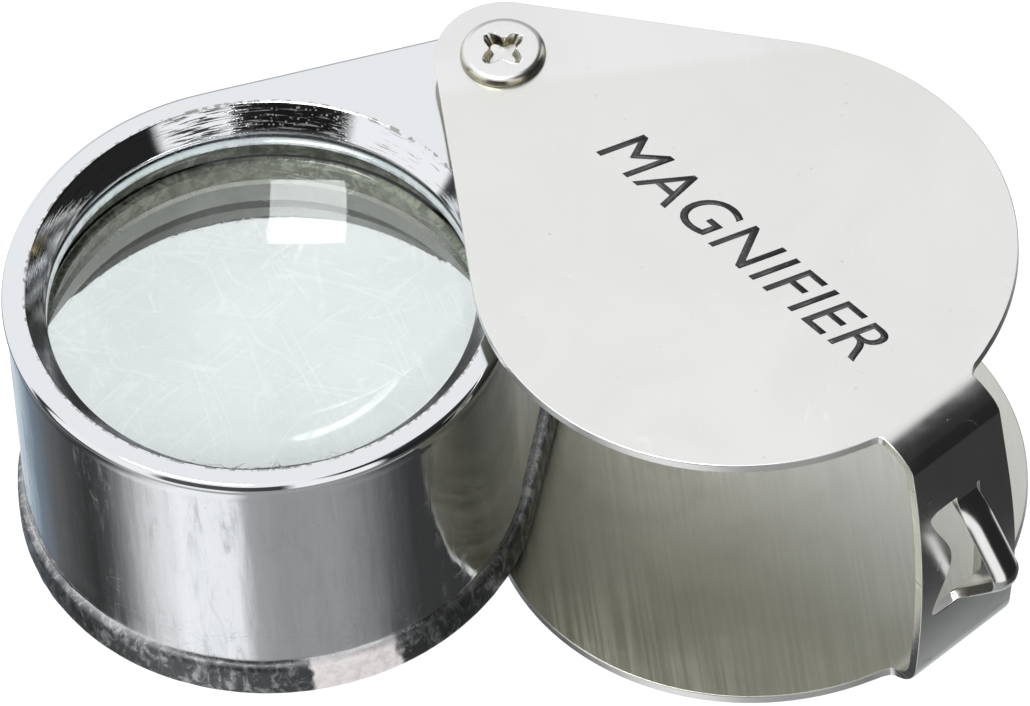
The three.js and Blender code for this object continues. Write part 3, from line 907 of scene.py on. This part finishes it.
def ring(name, inner, outer, low, high, rounding, body, slot, material, steps=128):
    bm = spun(tube(inner, outer, low, high), PIVOT, steps)
    soften(bm, rounding)
    obj = to_object(name, bm)
    keep_flat(obj)
    place(obj, body, slot, [slot], material)


def washers():
    for name in ("lower_washer", "upper_washer"):
        low, high = corners(name)
        outer = high.x - PIVOT.x
        ring(name + "_disc", WASHER_BORE, outer, low.z, high.z, 0.05 * MM, "cover", name, BRASS, 64)


def spring_washer():
    outer = SPRING_HIGH.x - PIVOT.x
    wave = (SPRING_HIGH.z - SPRING_LOW.z - SPRING_THICK) / 2
    middle = (SPRING_LOW.z + SPRING_HIGH.z) / 2
    low, high = middle - SPRING_THICK / 2, middle + SPRING_THICK / 2
    bm = spun(tube(SPRING_BORE, outer, low, high), PIVOT, 96)
    for v in bm.verts:
        angle = math.atan2(v.co.y - PIVOT.y, v.co.x - PIVOT.x)
        v.co.z += wave * math.cos(3 * angle)
    soften(bm, 0.04 * MM)
    obj = to_object("spring", bm)
    place(obj, "cover", "spring_washer", ["spring_washer"], SPRING)


def sleeve():
    low, high = SLEEVE_LOW.z, SLEEVE_HIGH.z
    outer = SLEEVE_HIGH.x - PIVOT.x
    bm = spun([(SLEEVE_BORE, low), (SLEEVE_NECK_R, low), (SLEEVE_NECK_R, SHEET), (outer, SHEET),
               (outer, high), (SLEEVE_BORE, high), (SLEEVE_BORE, low)], PIVOT, 64)
    soften(bm, 0.05 * MM)
    obj = to_object("sleeve", bm)
    keep_flat(obj)
    place(obj, "cover", "pivot_sleeve", ["pivot_sleeve"], BRASS)


# ---- barrel
BARREL_TOP = BARREL_HIGH.z
BARREL_FOOT = BARREL_LOW.z
ROUND_STEPS = 160
SIDE_STEPS = 10
NECK_STEPS = 36
WALL_STEPS = 12
CASTING_WAVES = 0.03 * MM
FOOT_ROUGHNESS = 0.05 * MM


def outline(bm, z):
    """The barrel's teardrop outline as a closed chain, with each point's outward direction."""
    lean = math.acos((BARREL_R - NECK_R) / REACH)
    round_end = Vector((REACH, 0, z))
    neck_end = Vector((0, 0, z))
    points = []

    def arc(centre, radius, start, sweep, steps):
        for i in range(steps + 1):
            turn = start + sweep * i / steps
            out = Vector((math.cos(turn), math.sin(turn), 0))
            points.append((centre + out * radius, out))

    def side(turn, start, start_r, end, end_r):
        out = Vector((math.cos(turn), math.sin(turn), 0))
        for i in range(1, SIDE_STEPS):
            points.append(((start + out * start_r).lerp(end + out * end_r, i / SIDE_STEPS), out))

    arc(round_end, BARREL_R, lean - math.pi, 2 * (math.pi - lean), ROUND_STEPS)
    side(math.pi - lean, round_end, BARREL_R, neck_end, NECK_R)
    arc(neck_end, NECK_R, math.pi - lean, 2 * lean, NECK_STEPS)
    side(lean - math.pi, neck_end, NECK_R, round_end, BARREL_R)
    verts = [bm.verts.new(p) for p, _ in points]
    return verts, [out for _, out in points]


def barrel_levels():
    """(height, growth) pairs up the barrel's wall: flared foot, plain wall, top lip."""
    foot = [(0.0, 0.40), (0.05, 0.75), (0.15, 0.95), (0.3, 1.0), (0.8, 1.0), (1.2, 0.99), (1.6, 0.96),
            (1.8, 0.88), (1.9, 0.72), (1.98, 0.42), (2.05, 0.16), (2.14, 0.03), (2.3, 0.0)]
    levels = [(BARREL_FOOT + z * MM, grow * FLANGE) for z, grow in foot]
    start, end = BARREL_FOOT + 3.4 * MM, BARREL_TOP - 1.0 * MM
    levels += [(start + (end - start) * i / WALL_STEPS, 0.0) for i in range(WALL_STEPS + 1)]
    lip = [(0.72, 0.0), (0.66, 0.04), (0.60, 0.2), (0.56, 0.5), (0.50, 0.8), (0.42, 0.96), (0.34, 1.0),
           (0.26, 0.95), (0.18, 0.78), (0.11, 0.5), (0.05, 0.1), (0.015, -0.35), (0.0, -0.8)]
    levels += [(BARREL_TOP - z * MM, grow * LIP) for z, grow in lip]
    return levels


def barrel_cutters():
    """What is bored out of the barrel: the mouth with the lens bore under it, and the pivot hole."""
    ledge = BARREL_TOP - MOUTH_DEPTH
    over, under = BARREL_TOP + MM, BARREL_FOOT - MM
    mouth = [(0, over), (MOUTH_R + 0.03 * MM, over), (MOUTH_R + 0.03 * MM, BARREL_TOP),
             (MOUTH_R, BARREL_TOP - 0.02 * MM), (MOUTH_R - 0.03 * MM, BARREL_TOP - 0.06 * MM),
             (APERTURE + 0.03 * MM, ledge + 0.02 * MM), (APERTURE, ledge - 0.03 * MM),
             (APERTURE, ledge - LAND + 0.04 * MM), (APERTURE + 0.04 * MM, ledge - LAND),
             (LENS_BORE, ledge - LAND), (LENS_BORE, BARREL_FOOT + 0.5 * MM),
             (LENS_BORE + 0.5 * MM, BARREL_FOOT), (LENS_BORE + 0.5 * MM, under), (0, under)]
    pin = [(0, over), (PIVOT_BORE, over), (PIVOT_BORE, under), (0, under)]
    return to_object("mouth", spun(mouth, LENS_AXIS, 192)), to_object("pin", spun(pin, PIVOT, 64))


def barrel():
    bm = bmesh.new()
    levels = barrel_levels()
    verts, outs = outline(bm, levels[0][0])
    edges = [bm.edges.new((a, b)) for a, b in zip(verts, verts[1:] + verts[:1])]
    base = [v.co.copy() for v in verts]
    chain = verts
    for v, start, out in zip(chain, base, outs):
        v.co = start + out * levels[0][1]
    for z, grow in levels[1:]:
        grown = bmesh.ops.extrude_edge_only(bm, edges=edges)["geom"]
        fresh = {v for v in grown if isinstance(v, bmesh.types.BMVert)}
        chain = [next(e.other_vert(v) for e in v.link_edges if e.other_vert(v) in fresh) for v in chain]
        edges = [bm.edges.get((a, b)) for a, b in zip(chain, chain[1:] + chain[:1])]
        for v, start, out in zip(chain, base, outs):
            v.co = start + out * grow
            v.co.z = z
            uneven = abs(noise.noise(v.co * 160)) * CASTING_WAVES
            if z < BARREL_FOOT + 2.6 * MM:
                uneven += abs(noise.noise(v.co * 900 + Vector((5, 1, 7)))) * FOOT_ROUGHNESS
            v.co -= out * uneven
    bm.faces.new(chain)
    bm.faces.new(verts)
    bmesh.ops.recalc_face_normals(bm, faces=bm.faces)
    bmesh.ops.rotate(bm, verts=bm.verts, cent=(0, 0, 0), matrix=Matrix.Rotation(SWING, 3, "Z"))
    bmesh.ops.translate(bm, verts=bm.verts, vec=PIVOT)
    obj = to_object("barrel", bm)
    cut(obj, *barrel_cutters())
    obj.data.shade_smooth()
    keep_flat(obj)
    place(obj, "lens", "lens_frame", ["lens_frame"], CHROME)


# ---- optics
LENS_R = (UPPER_LENS_HIGH.x - UPPER_LENS_LOW.x) / 2
RING_R = (SPACER_HIGH.x - SPACER_LOW.x) / 2
LENS_SPHERE = 32.0 * MM
LENS_CHAMFER = 0.15 * MM
SPACER_INNER = 9.8 * MM
SPACER_STEP = 1.9 * MM
SPACER_RELIEF = 0.18 * MM
RING_INNER = 9.9 * MM
NOTCH_WIDTH = 1.6 * MM
RIM_STEPS = 6
DOME_STEPS = 28


def lens(name, slot, flat_z, way, glass):
    """Flat face at flat_z, dome towards way: 1 up, -1 down."""
    drop = math.sqrt(LENS_SPHERE ** 2 - LENS_R ** 2)
    edge = (UPPER_LENS_HIGH.z - UPPER_LENS_LOW.z) - LENS_SPHERE + drop
    rim = LENS_R - LENS_CHAMFER
    profile = [(0, flat_z)]
    profile += [(rim * i / RIM_STEPS, flat_z) for i in range(1, RIM_STEPS + 1)]
    profile += [(LENS_R, flat_z + way * LENS_CHAMFER), (LENS_R, flat_z + way * edge)]
    for i in range(1, DOME_STEPS + 1):
        radius = LENS_R * (1 - i / DOME_STEPS)
        profile.append((radius, flat_z + way * (edge + math.sqrt(LENS_SPHERE ** 2 - radius ** 2) - drop)))
    bm = spun(profile, LENS_AXIS, 128)
    for face in bm.faces:
        middle = face.calc_center_median() - LENS_AXIS
        middle.z = 0
        if middle.length > rim and abs(face.normal.z) < 0.8:
            face.material_index = 1
    obj = to_object(name, bm)
    keep_flat(obj)
    place(obj, "lens", slot, [slot], glass, EDGE_GLASS)


def spacer():
    """The ring between the lenses, wider inside above a small bare step."""
    step = SPACER_LOW.z + SPACER_STEP
    wide, narrow = SPACER_INNER + SPACER_RELIEF, SPACER_INNER
    bm = spun([(narrow, SPACER_LOW.z), (RING_R, SPACER_LOW.z), (RING_R, SPACER_HIGH.z), (wide, SPACER_HIGH.z),
               (wide, step), (narrow, step - SPACER_RELIEF), (narrow, SPACER_LOW.z)], LENS_AXIS, 160)
    for face in bm.faces:
        middle = face.calc_center_median().z
        if middle > step:
            face.material_index = 1
        elif middle > step - 0.17 * MM:
            face.material_index = 2
    soften(bm, 0.03 * MM, 2, 60)
    obj = to_object("spacer", bm)
    keep_flat(obj)
    place(obj, "lens", "spacer_ring", ["spacer_ring"], ALLOY, OLIVE, PALE_EDGE)


def rear_ring():
    """The ring that holds the lenses in, with a spanner notch on each side."""
    bm = spun(tube(RING_INNER, RING_R, RING_LOW.z, RING_HIGH.z), LENS_AXIS, 160)
    obj = to_object("rear_ring", bm)
    notch = bmesh.new()
    bmesh.ops.create_cube(notch, size=1.0)
    notch_size = (2 * RING_R + 2 * MM, NOTCH_WIDTH, RING_HIGH.z - RING_LOW.z)
    bmesh.ops.scale(notch, verts=notch.verts, vec=notch_size)
    bmesh.ops.rotate(notch, verts=notch.verts, cent=(0, 0, 0), matrix=Matrix.Rotation(SWING, 3, "Z"))
    bmesh.ops.translate(notch, verts=notch.verts, vec=LENS_AXIS + Vector((0, 0, RING_LOW.z)))
    cut(obj, to_object("notch", notch))
    obj.data.shade_smooth()
    round_edges(obj, 0.08 * MM)
    place(obj, "lens", "retaining_ring", ["retaining_ring"], PAINTED_LIGHT_ALLOY)


# ---- marking
MARK_LENGTH = 17.6 * MM
MARK_HEIGHT = 2.35 * MM
MARK_CENTRE = Vector((-0.3 * MM, 0.25 * MM, 0))
INK_THICK = 0.012 * MM


def marking():
    words = bpy.data.curves.new("marking_words", "FONT")
    words.body = "MAGNIFIER"
    words.size = 1.0
    words.shear = 0.35
    words.space_character = 1.06
    words.extrude = 0.5
    words.resolution_u = 6
    source = bpy.data.objects.new("marking_words", words)
    bpy.context.scene.collection.objects.link(source)
    graph = bpy.context.evaluated_depsgraph_get()
    mesh = bpy.data.meshes.new_from_object(source.evaluated_get(graph))
    bpy.data.objects.remove(source)
    bm = bmesh.new()
    bm.from_mesh(mesh)
    low = Vector((min(v.co[k] for v in bm.verts) for k in range(3)))
    high = Vector((max(v.co[k] for v in bm.verts) for k in range(3)))
    middle = (low + high) / 2
    size = high - low
    for v in bm.verts:
        v.co.x = MARK_CENTRE.x + (v.co.x - middle.x) / size.x * MARK_LENGTH
        v.co.y = MARK_CENTRE.y + (v.co.y - middle.y) / size.y * MARK_HEIGHT
        v.co.z = HEIGHT + (INK_THICK if v.co.z > middle.z else -INK_THICK)
    bmesh.ops.remove_doubles(bm, verts=bm.verts, dist=1e-7)
    bmesh.ops.recalc_face_normals(bm, faces=bm.faces)
    obj = to_object("marking", bm)
    obj.data.materials.append(INK)
    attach(obj, "cover")


# ---- studio
CAMERA_AZIMUTH = math.radians(50.82)
CAMERA_HEIGHT = math.radians(51.33)
CAMERA_ROLL = math.radians(-4.255)
CAMERA_DISTANCE = 838.6 * MM
CAMERA_LENS = 631.3
AIM = Vector((-7.80, -7.66, 10.0)) * MM


def camera():
    level = math.cos(CAMERA_HEIGHT)
    back = Vector((math.sin(CAMERA_AZIMUTH) * level, -math.cos(CAMERA_AZIMUTH) * level,
                   math.sin(CAMERA_HEIGHT)))
    data = bpy.data.cameras.new("camera")
    data.sensor_width = 36.0
    data.lens = CAMERA_LENS
    data.clip_start = 0.05
    data.clip_end = 20.0
    obj = bpy.data.objects.new("camera", data)
    bpy.context.scene.collection.objects.link(obj)
    obj.location = AIM + back * CAMERA_DISTANCE
    straight = (-back).to_track_quat("-Z", "Y")
    obj.rotation_mode = "QUATERNION"
    obj.rotation_quaternion = straight @ Matrix.Rotation(CAMERA_ROLL, 3, "Z").to_quaternion()
    bpy.context.scene.camera = obj


def floor():
    bm = bmesh.new()
    bmesh.ops.create_grid(bm, x_segments=1, y_segments=1, size=3.0)
    bmesh.ops.translate(bm, verts=bm.verts, vec=(0, 0, -0.02 * MM))
    obj = to_object("floor", bm)
    material, _, shader, _ = new_material("pale_floor")
    shader["Base Color"].default_value = (0.12, 0.12, 0.12, 1)
    shader["Roughness"].default_value = 0.9
    shader["Emission Color"].default_value = (1.0, 1.0, 1.0, 1)
    shader["Emission Strength"].default_value = 1.03
    obj.data.materials.append(material)
    obj.visible_glossy = False


SOFT_BOX_TOWARDS = Vector((-0.12, -0.199, 0.973))
SOFT_BOX_ALONG = Vector((-0.70, -0.68, -0.225))
SOFT_BOX_SIZE = 152 * MM
SOFT_BOX_AWAY = 450 * MM
SOFT_BOX_POWER = 1.02


def soft_box():
    """A square light overhead, to the loupe's right: the one that shows in the lens."""
    data = bpy.data.lights.new("soft_box", "AREA")
    data.shape = "SQUARE"
    data.size = SOFT_BOX_SIZE
    data.energy = SOFT_BOX_POWER
    obj = bpy.data.objects.new("soft_box", data)
    bpy.context.scene.collection.objects.link(obj)
    up = SOFT_BOX_TOWARDS.normalized()
    along = (SOFT_BOX_ALONG - up * SOFT_BOX_ALONG.dot(up)).normalized()
    turn = Matrix((along, up.cross(along), up)).transposed()
    centre = LENS_AXIS + Vector((0, 0, UPPER_LENS_HIGH.z))
    obj.matrix_world = Matrix.Translation(centre + up * SOFT_BOX_AWAY) @ turn.to_4x4()


def grey(value):
    return (value, value, value, 1)


def around(stops):
    """Colour stops by azimuth in degrees, from -180 to 180."""
    return [((degrees + 180) / 360, grey(value) if isinstance(value, float) else (*value, 1))
            for degrees, value in stops]


# the light near the horizon and below it, which the barrel's wall shows
LOW_LIGHT = around([
    (-180, (0.19, 0.24, 0.30)), (-160, 0.12), (-146, 0.075), (-135, 0.04), (-123, 0.08), (-112, 0.30),
    (-100, 0.72), (-85, 1.0), (-62, 0.95), (-52, 0.40), (-40, 0.33), (-15, 0.33), (0, 0.24), (12, 0.10),
    (24, 0.045), (60, 0.04), (85, 0.09), (110, 0.35), (135, 0.8), (160, (0.6, 0.68, 0.75)),
    (180, (0.22, 0.28, 0.34))])
# the level that the bevelled mouth shows
MIDDLE_LIGHT = around([
    (-180, 0.95), (-140, 0.95), (-137, 0.05), (-131, 0.05), (-128, 1.0), (-86, 1.0), (-80, 0.10), (-36, 0.05),
    (-31, 1.0), (-2, 1.0), (3, 0.018), (72, 0.02), (76, 0.7), (92, 0.7), (96, 0.09), (104, 0.09), (108, 0.45),
    (150, 0.5), (165, 0.95)])
# the level that the strap's upper bend shows
HIGH_LIGHT = around([(-180, 0.95), (-20, 0.95), (-8, 0.03), (102, 0.03), (124, 0.95), (180, 0.95)])
# the lowest light, which the strap's foot shows
BELOW_LIGHT = around([
    (-180, (0.50, 0.53, 0.52)), (40, 0.30), (70, (0.40, 0.42, 0.42)), (110, (0.55, 0.58, 0.56)),
    (180, (0.50, 0.53, 0.52))])


def studio_light():
    world = bpy.data.worlds.new("studio")
    bpy.context.scene.world = world
    world.use_nodes = True
    world.node_tree.nodes.clear()
    n = Nodes(world.node_tree)
    where = n.add("ShaderNodeTexCoord").outputs["Generated"]
    split = n.add("ShaderNodeSeparateXYZ")
    n.link(where, split.inputs[0])
    x, y, z = split.outputs
    turn = n.math("ARCTAN2", y, x)
    part = n.plus(n.math("DIVIDE", turn, 2 * math.pi), 0.5)
    low = n.ramp(part, LOW_LIGHT)
    middle = n.ramp(part, MIDDLE_LIGHT)
    sides = n.ramp(part, HIGH_LIGHT)
    high = n.mix(n.band(z, 0.93, 0.975), sides, (1.0, 1.0, 1.0, 1))
    below = n.mix(n.band(z, -0.91, -0.83), n.ramp(part, BELOW_LIGHT), low)
    lower = n.mix(n.band(z, -0.55, -0.40), below, middle)
    sky = n.mix(n.band(z, 0.55, 0.66), lower, high)
    lit = n.add("ShaderNodeBackground")
    n.link(sky, lit.inputs["Color"])
    lit.inputs["Strength"].default_value = 1.0
    plain = n.add("ShaderNodeBackground")
    plain.inputs["Color"].default_value = (1, 1, 1, 1)
    rays = n.add("ShaderNodeLightPath")
    choose = n.add("ShaderNodeMixShader")
    n.link(rays.outputs["Is Camera Ray"], choose.inputs[0])
    n.link(lit.outputs[0], choose.inputs[1])
    n.link(plain.outputs[0], choose.inputs[2])
    n.link(choose.outputs[0], n.add("ShaderNodeOutputWorld").inputs["Surface"])
    bpy.context.scene.view_settings.view_transform = "Standard"


camera()
floor()
soft_box()
studio_light()
cover()
screw()
washers()
spring_washer()
sleeve()
barrel()
lens("front_lens", "upper_lens", UPPER_LENS_HIGH.z, -1, GLASS)
lens("rear_lens", "lower_lens", LOWER_LENS_LOW.z, 1, REAR_GLASS)
spacer()
rear_ring()
marking()
